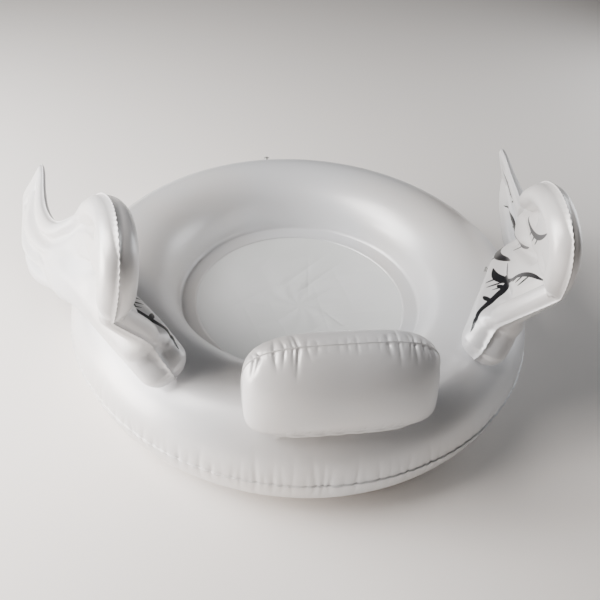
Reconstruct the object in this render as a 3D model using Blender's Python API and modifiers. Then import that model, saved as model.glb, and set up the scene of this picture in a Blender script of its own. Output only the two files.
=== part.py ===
# Inflatable round lounge: a tube ring with a sheet floor, a backrest and two standing wings.
# Metres, +Z up. The origin is the centre of the base, the backrest stands at -Y and +X is the sitter's right.

import math

import bmesh
import bpy
from mathutils import Matrix, Vector
from mathutils.bvhtree import BVHTree

# Sheet and welds
sheet = 0.0005
weld_gap = 0.0003
seat_gap = 0.0003
lip = 0.005
stack = sheet + weld_gap / 2

# Ring tube
ring_outer_radius = 0.747
ring_inner_radius = 0.404
seam_height = 0.170
crest_rise = 0.174
base_half_width = 0.0326
ring_steps = 48
arc_steps = 11
tube_middle = (ring_outer_radius + ring_inner_radius) / 2
tube_half_width = (ring_outer_radius - ring_inner_radius) / 2
crest_height = seam_height + stack + crest_rise
base_angle = math.acos(base_half_width / tube_half_width)
belly_drop = (seam_height - stack) / math.sin(base_angle)

# Floor and the flanges that carry it
upper_flange = 0.054
lower_flange = 0.018
flange_dip = 0.010
floor_edge_gap = 0.003
floor_sag = 0.032
floor_rings = 2

# Backrest; a row of its points lies on the weld plane because its segments come in quarters
backrest_width = 0.49
backrest_height = 0.258
backrest_depth = 0.165
backrest_seat_share = 0.58
backrest_back = tube_middle + tube_half_width * backrest_seat_share
backrest_lean = 20
backrest_outline_power = 3.4
backrest_depth_power = 2.5
backrest_swell_power = 0.85
backrest_fin = 0.005
backrest_seam_half = 0.160
backrest_quarter_segments = 7
backrest_segments = 4 * backrest_quarter_segments
backrest_rings = 14
backrest_recline = 20

# Weld strips: a tape folded into a standing fin that carries the lip above it
strip_half_width = 0.022
strip_rise_width = 0.0012
strip_overhang = 0.012
strip_seat_gap = 0.0006
strip_columns = 13
strip_row_shares = (1, 0.5)

# Wing root line on the ring: the angle in plan and the share of the tube's half width at both ends
wing_root_rear_angle = -46.28
wing_root_rear_share = 0.331
wing_root_front_angle = -16.83
wing_root_front_share = 0.470
wing_fin_rear = 0.006
wing_fin_front = 0.014

# Wing outline, as shares of its length forwards from the rear end of the root and of its rise above the crest
wing_length = 1.07
wing_rise = 0.492
wing_root_points = 4
wing_root_end_share = -0.037
wing_lower_edge_shares = [(0.348, -0.079), (0.436, -0.184), (0.530, -0.262), (0.623, -0.286), (0.717, -0.274),
                          (0.796, -0.221), (0.852, -0.119), (0.876, 0.021), (0.866, 0.174)]
wing_upper_edge_shares = [(-0.010, 0.102), (-0.036, 0.275), (-0.082, 0.468), (-0.113, 0.637), (-0.122, 0.800),
                          (-0.099, 0.926), (-0.040, 0.999), (0.044, 0.995), (0.147, 0.901), (0.240, 0.749),
                          (0.315, 0.586), (0.390, 0.409), (0.464, 0.275), (0.549, 0.234), (0.670, 0.255),
                          (0.773, 0.275), (0.838, 0.255)]

# Wing in plan at its foot and at its top: share of the length, share of the spread outwards from the root
wing_spread = 0.481
wing_plan_low_shares = [(0.427, 0.709), (0.567, 0.859), (0.707, 0.946), (0.857, 1.0)]
wing_plan_high_shares = [(-0.152, 0.177), (0.053, 0.260), (0.287, 0.397), (0.521, 0.588), (0.857, 0.755)]
wing_twist_top_share = 0.56
wing_curl_share = 0.18

# Wing fullness, as half thickness
wing_tube_half = 0.050
wing_roll_half = 0.060
wing_panel_half = 0.030
wing_tip_half = 0.012
wing_edge_round = 0.055
wing_tip_round = 0.025
wing_edge_power = 2.5
wing_tube_reach = (0.060, 0.130)
wing_roll_reach = (0.050, 0.110)
wing_roll_end_shares = (0.287, 0.521)
wing_tube_end_shares = (0.193, 0.427)
wing_tip_shares = (0.474, 0.782)
wing_lead_share = 0.72
feather_weld_width = 0.028
feather_weld_depth_share = 0.40
feather_weld_shares = [[(0.119, 0.722), (0.287, 0.539), (0.446, 0.163), (0.614, 0.113), (0.764, 0.153)],
                       [(0.053, 0.539), (0.240, 0.336), (0.427, 0.052), (0.614, -0.030), (0.782, 0.011)],
                       [(0.025, 0.316), (0.193, 0.174), (0.380, -0.010), (0.567, -0.142), (0.736, -0.131)]]
wing_columns = 24
wing_rows = 12
wing_lip = 0.004

# Play that the backrest and the wings have on their welds
wing_sway_in = 10
wing_sway_out = 12
sway_clearance = 0.003
sway_steps = 4

# Valves: a base welded in the sheet, a stem that pushes in, a flap and a plug on a strap
valve_flange_radius = 0.015
valve_flange_thickness = 0.001
valve_collar_radius = 0.0090
valve_collar_height = 0.0045
valve_stem_radius = 0.0065
valve_bore_radius = 0.0045
valve_stem_height = 0.0200
valve_stem_depth = 0.0120
valve_flap_thickness = 0.0006
valve_cap_radius = 0.0090
valve_cap_thickness = 0.0025
valve_plug_length = 0.0050
valve_plug_taper = 0.0022
valve_strap_width = 0.0050
valve_strap_length = 0.0035
valve_strap_thickness = 0.0012
valve_clearance = 0.0003
valve_steps = 16
wing_valve_shares = (0.264, 0.088)
backrest_valve_shares = (0.6, 0.33)
ring_valve_facet = 2
ring_valve_angle = (ring_valve_facet + 0.5) * 180 / arc_steps
ring_valve_turn = 180 / ring_steps

overrun = 0.01
merge_distance = 0.00001
crease_angle = 40


def clear_scene():
    for old in list(bpy.data.objects):
        bpy.data.objects.remove(old, do_unlink=True)


def add_collection(name):
    collection = bpy.data.collections.new(name)
    bpy.context.scene.collection.children.link(collection)
    return collection


def add_material(name, colour, roughness, metallic=0.0, transmission=0.0):
    material = bpy.data.materials.new(name)
    material.use_nodes = True
    shader = material.node_tree.nodes["Principled BSDF"]
    shader.inputs["Base Color"].default_value = (*colour, 1.0)
    shader.inputs["Roughness"].default_value = roughness
    shader.inputs["Metallic"].default_value = metallic
    shader.inputs["Transmission Weight"].default_value = transmission
    return material


def add_object(name, mesh, material, parent=None, collection=None):
    part = bpy.data.objects.new(name, mesh)
    (collection or parts).objects.link(part)
    part.parent = parent
    if material:
        mesh.materials.append(material)
        mesh.shade_smooth()
        mesh.set_sharp_from_angle(angle=math.radians(crease_angle))
    return part


def add_pivot(name, place, parent=None):
    pivot = bpy.data.objects.new(name, None)
    parts.objects.link(pivot)
    pivot.parent = parent
    pivot.matrix_basis = place
    return pivot


def mesh_from(bm, name):
    bmesh.ops.remove_doubles(bm, verts=bm.verts, dist=merge_distance)
    mesh = bpy.data.meshes.new(name)
    bm.to_mesh(mesh)
    bm.free()
    return mesh


def profile_mesh(name, points):
    bm = bmesh.new()
    corners = [bm.verts.new((radius, 0, height)) for radius, height in points]
    for first, second in zip(corners, corners[1:]):
        bm.edges.new((first, second))
    return mesh_from(bm, name)


def add_screw(part, steps):
    screw = part.modifiers.new("Turn", "SCREW")
    screw.axis = "Z"
    screw.steps = steps
    screw.render_steps = steps
    screw.use_merge_vertices = True
    screw.merge_threshold = merge_distance


def add_wall(part, thickness):
    wall = part.modifiers.new("Sheet", "SOLIDIFY")
    wall.thickness = thickness
    wall.offset = -1


def add_cut(part, cutter):
    cut = part.modifiers.new("Hole", "BOOLEAN")
    cut.operation = "DIFFERENCE"
    cut.solver = "EXACT"
    cut.object = cutter


def smooth_step(low, high, value):
    share = min(max((value - low) / (high - low), 0), 1)
    return share * share * (3 - 2 * share)


def curve_through(points, share):
    """Catmull-Rom point on the chain of points at a share of its length in spans."""
    spans = len(points) - 1
    place = min(max(share, 0), 1) * spans
    index = min(int(place), spans - 1)
    t = place - index
    before = points[max(index - 1, 0)]
    start, end = points[index], points[index + 1]
    after = points[min(index + 2, spans)]
    return tuple(0.5 * (2 * b + (c - a) * t + (2 * a - 5 * b + 4 * c - d) * t * t
                        + (3 * b - a - 3 * c + d) * t * t * t)
                 for a, b, c, d in zip(before, start, end, after))


def value_at(points, place):
    """Height of a smooth curve through (place, value) points, with the end slopes carried on."""
    if place <= points[0][0]:
        (x0, y0), (x1, y1) = points[0], points[1]
        return y0 + (y1 - y0) / (x1 - x0) * (place - x0)
    if place >= points[-1][0]:
        (x0, y0), (x1, y1) = points[-2], points[-1]
        return y1 + (y1 - y0) / (x1 - x0) * (place - x1)
    slopes = [(b[1] - a[1]) / (b[0] - a[0]) for a, b in zip(points, points[1:])]
    tangents = [slopes[0]] + [(a + b) / 2 for a, b in zip(slopes, slopes[1:])] + [slopes[-1]]
    for index, (first, second) in enumerate(zip(points, points[1:])):
        if place <= second[0]:
            width = second[0] - first[0]
            t = (place - first[0]) / width
            blend = 3 * t * t - 2 * t ** 3
            start_pull = (t ** 3 - 2 * t * t + t) * width * tangents[index]
            end_pull = (t ** 3 - t * t) * width * tangents[index + 1]
            return (1 - blend) * first[1] + blend * second[1] + start_pull + end_pull


def distance_to_chain(point, chain):
    best = math.inf
    for (ax, ay), (bx, by) in zip(chain, chain[1:]):
        along_x, along_y = bx - ax, by - ay
        length = along_x * along_x + along_y * along_y
        share = ((point[0] - ax) * along_x + (point[1] - ay) * along_y) / length if length else 0
        share = min(max(share, 0), 1)
        best = min(best, math.hypot(point[0] - ax - share * along_x, point[1] - ay - share * along_y))
    return best


# Ring

def ring_top(radius):
    """Height of the ring's upper sheet at a radius."""
    share = min(abs(radius - tube_middle) / tube_half_width, 1)
    return seam_height + stack + crest_rise * math.sqrt(1 - share * share)


def make_ring():
    upper_level = seam_height + stack
    upper = [(ring_inner_radius - upper_flange, upper_level - flange_dip)]
    for step in range(arc_steps + 1):
        angle = math.pi * (1 - step / arc_steps)
        upper.append((tube_middle + tube_half_width * math.cos(angle),
                      upper_level + crest_rise * math.sin(angle)))
    upper.append((ring_outer_radius + lip, upper_level))
    top = add_object("ring_top_sheet", profile_mesh("ring_top_sheet", upper), pearl)
    add_screw(top, ring_steps)
    add_wall(top, sheet)

    lower_level = seam_height - stack
    side_steps = arc_steps // 2
    outer_side = []
    inner_side = []
    for step in range(side_steps + 1):
        angle = base_angle * step / side_steps
        reach = tube_half_width * math.cos(angle)
        height = lower_level - belly_drop * math.sin(angle)
        outer_side.append((tube_middle + reach, height))
        inner_side.append((tube_middle - reach, height))
    flange_slope = flange_dip / upper_flange
    lower = [(ring_outer_radius + lip, lower_level)] + outer_side + inner_side[::-1]
    lower.append((ring_inner_radius - lower_flange, lower_level - lower_flange * flange_slope))
    bottom = add_object("ring_bottom_sheet", profile_mesh("ring_bottom_sheet", lower), pearl)
    add_screw(bottom, ring_steps)
    add_wall(bottom, sheet)
    return top


def make_floor():
    flange_slope = flange_dip / upper_flange
    level = seam_height - weld_gap / 2
    flange_edge = ring_inner_radius - upper_flange
    flange_level = level - flange_dip
    floor_radius = ring_inner_radius - lower_flange - floor_edge_gap
    points = []
    for ring in range(floor_rings + 1):
        share = ring / floor_rings
        points.append((flange_edge * share, flange_level - floor_sag * (1 - share * share)))
    points.append((floor_radius, level - (ring_inner_radius - floor_radius) * flange_slope))
    floor = add_object("floor_sheet", profile_mesh("floor_sheet", points), clear_sheet)
    add_screw(floor, ring_steps)
    add_wall(floor, sheet)


# Weld strips

def make_strip(start, end, height_at):
    """Folded tape on the ring from start to end in plan, with its fin under the lip above."""
    run = Vector(end) - Vector(start)
    along = run.normalized()
    across = Vector((along.y, -along.x))
    first = -strip_overhang / run.length
    last = 1 + strip_overhang / run.length
    flap = [(strip_half_width * share, False) for share in strip_row_shares]
    flap += [(strip_rise_width, False), (strip_rise_width, True)]
    rows = [(-offset, raised) for offset, raised in flap] + flap[::-1]
    bm = bmesh.new()
    grid = []
    for column in range(strip_columns):
        share = first + (last - first) * column / (strip_columns - 1)
        line = []
        for offset, raised in rows:
            spot = Vector(start) + run * share + across * offset
            height = ring_top(spot.length) + strip_seat_gap + sheet
            if raised and 0 <= share <= 1:
                height = height_at(share) - seat_gap / 2
            elif raised:
                height += strip_rise_width
            line.append(bm.verts.new((spot.x, spot.y, height)))
        grid.append(line)
    for left, right in zip(grid, grid[1:]):
        for low in range(len(rows) - 1):
            bm.faces.new((left[low], left[low + 1], right[low + 1], right[low]))
    return bm


def finish_strip(name, bm, side=1):
    if side < 0:
        bmesh.ops.scale(bm, vec=(-1, 1, 1), verts=bm.verts)
    bmesh.ops.recalc_face_normals(bm, faces=bm.faces)
    if sum(face.normal.z for face in bm.faces) < 0:
        bmesh.ops.reverse_faces(bm, faces=bm.faces)
    strip = add_object(name, mesh_from(bm, name), pearl)
    add_wall(strip, sheet)
    return strip


# Backrest

def backrest_axis_height():
    return ring_top(backrest_back) + backrest_fin


def make_backrest():
    axis = Vector((0, -backrest_back, backrest_axis_height()))
    frame = Matrix.Translation(axis) @ Matrix.Rotation(-math.radians(backrest_lean), 4, "X")
    pivot = add_pivot("backrest_pivot", frame)
    half_width, half_height, half_depth = backrest_width / 2, backrest_height / 2, backrest_depth / 2
    sheets = []
    for name, facing in (("backrest_rear_sheet", -1), ("backrest_front_sheet", 1)):
        bm = bmesh.new()
        bmesh.ops.create_uvsphere(bm, u_segments=backrest_segments, v_segments=backrest_rings, radius=1)
        bmesh.ops.rotate(bm, cent=(0, 0, 0), matrix=Matrix.Rotation(math.pi / 2, 3, "Y"), verts=bm.verts)
        behind = [vert for vert in bm.verts if vert.co.y * facing < -merge_distance]
        bmesh.ops.delete(bm, geom=behind, context="VERTS")
        for vert in bm.verts:
            length_share = min(abs(vert.co.x), 1)
            turn = math.hypot(vert.co.y, vert.co.z)
            outline = (1 - length_share ** backrest_outline_power) ** (1 / backrest_outline_power)
            fullness = (1 - length_share ** backrest_depth_power) ** (1 / backrest_depth_power)
            rise = vert.co.z / turn if turn else 0
            swell = (abs(vert.co.y) / turn) ** backrest_swell_power if turn else 0
            vert.co = Vector((half_width * vert.co.x,
                              facing * (stack + half_depth * fullness * swell),
                              lip + half_height * (1 + outline * rise)))
        grow_lip(bm, lip, lambda vert: Vector((0, 1, 0)), Vector((0, 0, lip + half_height)))
        for vert in bm.verts:
            if abs(vert.co.x) <= backrest_seam_half and vert.co.z < lip / 2:
                vert.co.z = seat_gap / 2 + stack * math.tan(math.radians(backrest_lean))
            else:
                vert.co = frame.inverted() @ clear_of_ring(frame @ vert.co, axis, Vector((1, 0, 0)),
                                                           0, backrest_recline)
        bmesh.ops.recalc_face_normals(bm, faces=bm.faces)
        if sum(face.normal.y * face.calc_area() for face in bm.faces) * facing < 0:
            bmesh.ops.reverse_faces(bm, faces=bm.faces)
        part = add_object(name, mesh_from(bm, name), pearl, pivot)
        add_wall(part, sheet)
        sheets.append(part)
    start, end = (-backrest_seam_half, -backrest_back), (backrest_seam_half, -backrest_back)
    finish_strip("backrest_weld_strip", make_strip(start, end, lambda share: axis.z))
    return pivot, sheets


def grow_lip(bm, width, normal_at, middle):
    """Widens an open sheet by a lip that runs outwards from its border, square to the normal there."""
    border = [edge for edge in bm.edges if edge.is_boundary]
    neighbours = {}
    for edge in border:
        for vert, other in (edge.verts, reversed(edge.verts)):
            neighbours.setdefault(vert, []).append(other.co.copy())
    outward = {}
    for vert, (first, second) in neighbours.items():
        direction = (second - first).cross(normal_at(vert)).normalized()
        if direction.dot(vert.co - middle) < 0:
            direction.negate()
        outward[tuple(vert.co)] = direction
    grown = bmesh.ops.extrude_edge_only(bm, edges=border)["geom"]
    for item in grown:
        if isinstance(item, bmesh.types.BMVert):
            item.co += outward[tuple(item.co)] * width


# Wings

def on_ring(angle, share, rise):
    """Point over the ring at an angle in plan and a share of the tube's half width out from its middle."""
    radius = tube_middle + tube_half_width * share
    turn = math.radians(angle)
    return Vector((radius * math.cos(turn), radius * math.sin(turn), ring_top(radius) + rise))


def wing_axis_ends():
    rear = on_ring(wing_root_rear_angle, wing_root_rear_share, wing_fin_rear)
    front = on_ring(wing_root_front_angle, wing_root_front_share, wing_fin_front)
    return rear, front


def root_at(depth):
    """Point of the root's line, carried on past its ends, at the bottom of the wing's welded edge."""
    rear, front = wing_axis_ends()
    return rear + (front - rear) * ((depth - rear.y) / (front.y - rear.y)) + Vector((0, 0, wing_lip))


def wing_depth(share):
    return wing_axis_ends()[0].y + wing_length * share


def wing_height(share):
    return crest_height + wing_rise * share


def outline_places(shares):
    return [(wing_depth(along), wing_height(up)) for along, up in shares]


def plan_places(shares):
    rear = wing_axis_ends()[0]
    return [(wing_depth(along), rear.x + wing_spread * outward) for along, outward in shares]


def wing_outline():
    rear_end = wing_depth(wing_root_end_share)
    front = wing_axis_ends()[1]
    lower = []
    for step in range(wing_root_points + 1):
        depth = rear_end + (front.y - rear_end) * step / wing_root_points
        lower.append((depth, root_at(depth).z))
    return lower + outline_places(wing_lower_edge_shares), outline_places(wing_upper_edge_shares)


def wing_middle(depth, height):
    """Point of the surface midway between the two sheets of the +X wing."""
    ends = [root_at(wing_depth(wing_root_end_share)), root_at(wing_axis_ends()[1].y)]
    low = value_at([(end.y, end.x) for end in ends] + plan_places(wing_plan_low_shares), depth)
    high = value_at(plan_places(wing_plan_high_shares), depth)
    root = root_at(depth).z
    top = wing_height(wing_twist_top_share)
    share = min(max((height - root) / (top - root), 0), 1)
    curl = wing_curl_share * max(0, height - top)
    return Vector((low + (high - low) * share - curl, depth, height))


def wing_normal(depth, height):
    step = sheet
    along = wing_middle(depth + step, height) - wing_middle(depth - step, height)
    upward = wing_middle(depth, height + step) - wing_middle(depth, height - step)
    return along.cross(upward).normalized()


def fade_along(shares, depth):
    return smooth_step(*(wing_depth(share) for share in shares), depth)


def wing_half_thickness(point, outline, leading, lower, welds):
    edge = distance_to_chain(point, outline)
    outer = fade_along(wing_tip_shares, point[0])
    rounding = 1 - min(edge / (wing_edge_round + (wing_tip_round - wing_edge_round) * outer), 1)
    tube = 1 - smooth_step(*wing_tube_reach, distance_to_chain(point, leading))
    tube *= 1 - fade_along(wing_tube_end_shares, point[0])
    roll = 1 - smooth_step(*wing_roll_reach, distance_to_chain(point, lower))
    roll *= 1 - fade_along(wing_roll_end_shares, point[0])
    weld = max(math.exp(-(distance_to_chain(point, line) / feather_weld_width) ** 2) for line in welds)
    panel = wing_panel_half + (wing_tip_half - wing_panel_half) * outer
    panel *= 1 - feather_weld_depth_share * weld
    fullness = (panel ** 4 + (wing_tube_half * tube) ** 4 + (wing_roll_half * roll) ** 4) ** 0.25
    return fullness * (1 - rounding ** wing_edge_power) ** (1 / wing_edge_power)


def clear_of_ring(point, pivot, axis, low, high):
    """Moves a point out of the space that the ring takes anywhere in a turn about the axis."""
    angles = [low + (high - low) * step / sway_steps for step in range(sway_steps + 1)]
    for degrees in angles + angles[::-1]:
        turn = (Matrix.Translation(pivot) @ Matrix.Rotation(math.radians(degrees), 4, axis)
                @ Matrix.Translation(-pivot))
        moved = turn @ point
        radius = math.hypot(moved.x, moved.y)
        across = radius - tube_middle
        above = moved.z - seam_height
        rise = crest_rise if above > 0 else belly_drop
        share = math.hypot(across / (tube_half_width + sway_clearance), above / (rise + sway_clearance))
        if share < 1:
            radius_out = tube_middle + across / share
            moved = Vector((moved.x * radius_out / radius, moved.y * radius_out / radius,
                            seam_height + above / share))
            point = turn.inverted() @ moved
    return point


def wing_grid(lower, upper):
    """Places in depth and height, filled in between the four edges of the outline."""
    left_low, left_high = lower[0], upper[0]
    right_low, right_high = lower[-1], upper[-1]
    grid = []
    for column in range(wing_columns + 1):
        u = column / wing_columns
        low = curve_through(lower, u)
        high = curve_through(upper, u)
        line = []
        for row in range(wing_rows + 1):
            v = (1 - math.cos(math.pi * row / wing_rows)) / 2
            point = []
            for axis in (0, 1):
                left = left_low[axis] + (left_high[axis] - left_low[axis]) * v
                right = right_low[axis] + (right_high[axis] - right_low[axis]) * v
                corners = ((1 - u) * ((1 - v) * left_low[axis] + v * left_high[axis])
                           + u * ((1 - v) * right_low[axis] + v * right_high[axis]))
                point.append((1 - v) * low[axis] + v * high[axis] + (1 - u) * left + u * right - corners)
            line.append(tuple(point))
        grid.append(line)
    return grid


def make_wing_sheet(name, side, facing, pivot, rear, front):
    lower, upper = wing_outline()
    grid = wing_grid(lower, upper)
    low_line = [line[0] for line in grid]
    high_line = [line[-1] for line in grid]
    outline = low_line + high_line[::-1] + [low_line[0]]
    leading = high_line[:round(wing_columns * wing_lead_share)]
    welds = [outline_places(line) for line in feather_weld_shares]
    bm = bmesh.new()
    bmesh.ops.create_grid(bm, x_segments=wing_columns, y_segments=wing_rows, size=0.5)
    bm.verts.ensure_lookup_table()
    for vert in bm.verts:
        column = round((vert.co.x + 0.5) * wing_columns)
        row = round((vert.co.y + 0.5) * wing_rows)
        depth, height = grid[column][row]
        half = 0
        if 0 < column < wing_columns and 0 < row < wing_rows:
            half = wing_half_thickness((depth, height), outline, leading, low_line, welds)
        vert.co = wing_middle(depth, height) + wing_normal(depth, height) * facing * (stack + half)
    middle = wing_middle(*grid[wing_columns // 2][wing_rows // 2])
    grow_lip(bm, wing_lip, lambda vert: wing_normal(vert.co.y, vert.co.z), middle)
    for vert in bm.verts:
        vert.co = clear_of_ring(vert.co, rear, front - rear, -wing_sway_in, wing_sway_out)
    bmesh.ops.recalc_face_normals(bm, faces=bm.faces)
    if sum(face.normal.x * face.calc_area() for face in bm.faces) * facing < 0:
        bmesh.ops.reverse_faces(bm, faces=bm.faces)
    if side < 0:
        bmesh.ops.scale(bm, vec=(-1, 1, 1), verts=bm.verts)
        bmesh.ops.reverse_faces(bm, faces=bm.faces)
    bmesh.ops.translate(bm, vec=-pivot.matrix_basis.translation, verts=bm.verts)
    part = add_object(name, mesh_from(bm, name), pearl, pivot)
    add_wall(part, sheet)
    return part


def make_wing(label, side):
    rear, front = wing_axis_ends()
    pivot = add_pivot(label + "_pivot", Matrix.Translation((side * rear.x, rear.y, rear.z)))
    inner = make_wing_sheet(label + "_inner_sheet", side, -1, pivot, rear, front)
    make_wing_sheet(label + "_outer_sheet", side, 1, pivot, rear, front)
    strip = make_strip(rear.xy, front.xy, lambda share: rear.z + (front.z - rear.z) * share)
    finish_strip(label + "_weld_strip", strip, side)
    return pivot, inner


# Valves

def turned(name, points, material, parent):
    part = add_object(name, profile_mesh(name, points), material, parent)
    add_screw(part, valve_steps)
    return part


def seat_on(sheet_part, origin, direction):
    """Frame whose Z axis stands on the sheet where a line from origin meets it."""
    bpy.context.view_layer.update()
    tree = BVHTree.FromObject(sheet_part, bpy.context.evaluated_depsgraph_get())
    to_local = sheet_part.matrix_world.inverted()
    spot, normal, _, _ = tree.ray_cast(to_local @ Vector(origin), to_local.to_3x3() @ Vector(direction))
    normal = (sheet_part.matrix_world.to_3x3() @ normal).normalized()
    stand = normal.to_track_quat("Z", "Y").to_matrix().to_4x4()
    return Matrix.Translation(sheet_part.matrix_world @ spot) @ stand


def make_valve(label, sheet_part, place, body, bend_radius):
    parent_frame = body.matrix_world if body else Matrix.Identity(4)
    seat = add_pivot(label + "_seat", parent_frame.inverted() @ place, body)
    hole_radius = valve_collar_radius + valve_clearance
    hole_mesh = profile_mesh(label + "_hole", [(0, overrun), (hole_radius, overrun),
                                               (hole_radius, -overrun), (0, -overrun)])
    hole = add_object(label + "_hole", hole_mesh, None, None, cutters)
    hole.matrix_basis = place
    hole.hide_render = True
    hole.display_type = "WIRE"
    add_screw(hole, valve_steps)
    add_cut(sheet_part, hole)

    guide_radius = valve_stem_radius + valve_clearance
    flange_top = -sheet - valve_flange_radius ** 2 / bend_radius - valve_clearance
    flange_bottom = flange_top - valve_flange_thickness
    turned(label + "_base", [(guide_radius, valve_collar_height), (valve_collar_radius, valve_collar_height),
                             (valve_collar_radius, flange_top), (valve_flange_radius, flange_top),
                             (valve_flange_radius, flange_bottom), (guide_radius, flange_bottom),
                             (guide_radius, valve_collar_height)], soft_clear, seat)
    stem = turned(label + "_stem", [(valve_bore_radius, valve_stem_height),
                                    (valve_stem_radius, valve_stem_height),
                                    (valve_stem_radius, -valve_stem_depth),
                                    (valve_bore_radius, -valve_stem_depth),
                                    (valve_bore_radius, valve_stem_height)], soft_clear, seat)
    strap_reach = valve_cap_radius + valve_strap_length
    lug_root = (valve_bore_radius + valve_stem_radius) / 2
    add_tab(label + "_lug", stem, seat, -strap_reach, -lug_root, valve_stem_height - valve_strap_thickness)
    flap_top = -valve_stem_depth - valve_clearance
    turned(label + "_flap", [(0, flap_top), (valve_stem_radius, flap_top),
                             (valve_stem_radius, flap_top - valve_flap_thickness),
                             (0, flap_top - valve_flap_thickness)], soft_clear, seat)

    cap_bottom = valve_stem_height + valve_clearance
    hinge = add_pivot(label + "_strap_hinge", Matrix.Translation((-strap_reach, 0, cap_bottom)), seat)
    plug_radius = valve_bore_radius - valve_clearance
    plug = turned(label + "_plug", [(0, valve_cap_thickness), (valve_cap_radius, valve_cap_thickness),
                                    (valve_cap_radius, 0), (plug_radius, 0),
                                    (valve_plug_taper, -valve_plug_length), (0, -valve_plug_length)],
                  soft_clear, hinge)
    plug.location.x = strap_reach
    add_tab(label + "_strap", plug, hinge, 0, strap_reach - valve_cap_radius / 2, 0)


def add_tab(name, part, parent, start, end, bottom):
    """Joins a flat tab to a turned piece, from start to end along the X axis of its parent."""
    mesh = bpy.data.meshes.new(name)
    bm = bmesh.new()
    bmesh.ops.create_cube(bm, size=1)
    bmesh.ops.scale(bm, vec=(end - start, valve_strap_width, valve_strap_thickness), verts=bm.verts)
    middle = Vector(((start + end) / 2, 0, bottom + valve_strap_thickness / 2))
    bmesh.ops.translate(bm, vec=middle, verts=bm.verts)
    bm.to_mesh(mesh)
    bm.free()
    tab = add_object(name, mesh, None, parent, cutters)
    tab.hide_render = True
    tab.display_type = "WIRE"
    join = part.modifiers.new("Tab", "BOOLEAN")
    join.operation = "UNION"
    join.solver = "EXACT"
    join.object = tab


clear_scene()
parts = add_collection("swim_ring")
cutters = add_collection("swim_ring_cutters")
pearl = add_material("pearl_pvc", (0.86, 0.84, 0.82), 0.32, 0.15)
clear_sheet = add_material("clear_pvc", (0.80, 0.84, 0.80), 0.12, 0.0, 0.7)
soft_clear = add_material("valve_pvc", (0.62, 0.62, 0.60), 0.25, 0.0, 0.4)

ring_sheet = make_ring()
make_floor()
backrest_pivot, backrest_sheets = make_backrest()
wings = [make_wing("left_wing", -1), make_wing("right_wing", 1)]

ring_angle = math.radians(ring_valve_angle)
ring_turn = Matrix.Rotation(math.radians(ring_valve_turn), 3, "Z")
ring_facet = Vector((0, tube_middle + tube_half_width * math.cos(ring_angle),
                     seam_height + crest_rise * math.sin(ring_angle)))
ring_normal = Vector((0, math.cos(ring_angle) / tube_half_width, math.sin(ring_angle) / crest_rise)).normalized()
ring_start = ring_turn @ (ring_facet + ring_normal * tube_half_width)
ring_place = seat_on(ring_sheet, ring_start, ring_turn @ -ring_normal)
make_valve("ring_valve", ring_sheet, ring_place, None, tube_half_width)
backrest_start = (backrest_width / 2 * backrest_valve_shares[0], 0,
                  backrest_axis_height() + backrest_height * backrest_valve_shares[1])
backrest_place = seat_on(backrest_sheets[1], backrest_start, (0, -1, 0))
make_valve("backrest_valve", backrest_sheets[1], backrest_place, backrest_pivot, backrest_depth / 2)
for (wing_pivot, wing_inner), label, side in zip(wings, ("left_wing_valve", "right_wing_valve"), (-1, 1)):
    wing_start = (0, wing_depth(wing_valve_shares[0]), wing_height(wing_valve_shares[1]))
    wing_place = seat_on(wing_inner, wing_start, (side, 0, 0))
    make_valve(label, wing_inner, wing_place, wing_pivot, wing_roll_half)
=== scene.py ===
import math
import random

import bpy
import numpy as np
from mathutils import Matrix, Vector


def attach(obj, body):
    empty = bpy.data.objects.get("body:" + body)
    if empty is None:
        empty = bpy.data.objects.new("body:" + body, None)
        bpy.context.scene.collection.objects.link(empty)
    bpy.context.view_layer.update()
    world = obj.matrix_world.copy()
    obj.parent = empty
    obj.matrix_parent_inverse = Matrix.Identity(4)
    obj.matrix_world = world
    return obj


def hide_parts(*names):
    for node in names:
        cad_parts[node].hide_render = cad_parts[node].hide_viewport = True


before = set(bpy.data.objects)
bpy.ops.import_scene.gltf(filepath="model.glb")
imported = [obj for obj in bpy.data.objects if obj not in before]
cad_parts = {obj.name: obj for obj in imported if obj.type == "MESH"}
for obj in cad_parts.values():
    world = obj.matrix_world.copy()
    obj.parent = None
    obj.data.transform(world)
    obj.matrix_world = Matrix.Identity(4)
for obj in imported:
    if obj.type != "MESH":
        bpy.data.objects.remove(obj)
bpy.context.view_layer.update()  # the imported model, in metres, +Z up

tiny = 1e-6

viewSettings = {
    "azimuth": 10.8,  # degrees round from straight behind the backrest
    "elevation": 41.34,
    "roll": 4.3,
    "distance": 2.3,
    "target": (0.0013, 0.0038, 0.15),
    "focalPixels": 669.1,
    "imagePixels": 600,
    "sensorWidth": 36.0,
}
lightSettings = {
    "areas": [  # name, azimuth from +X, elevation, distance, width, height, power, colour
        ("windowLow", 189.2, 8.0, 4.0, 2.2, 2.2, 326.0, (1.0, 0.930, 0.880)),
        ("windowHigh", 189.2, 50.0, 4.0, 2.2, 2.2, 172.0, (1.0, 0.955, 0.925)),
        ("sideLight", 169.2, 30.0, 4.0, 2.2, 2.2, 161.0, (0.960, 0.980, 1.0)),
        ("farLight", 19.2, 15.0, 4.0, 2.2, 2.2, 63.0, (0.95, 0.97, 1.0)),
    ],
    "worldColour": (0.93, 0.96, 1.0),
    "worldStrength": 0.03,
    "floorColour": (0.96, 0.92, 0.88),
    "floorRoughness": 0.9,
    "floorSize": 30.0,
    "floorDrop": 0.0005,
}


def setMode(mode):
    bpy.ops.object.mode_set(mode=mode)


def selectOnly(piece):
    bpy.ops.object.select_all(action="DESELECT")
    piece.select_set(True)
    bpy.context.view_layer.objects.active = piece


def readPoints(piece, what="co"):
    flat = np.empty(len(piece.data.vertices) * 3)
    piece.data.vertices.foreach_get(what, flat)
    return flat.reshape(-1, 3)


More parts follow.
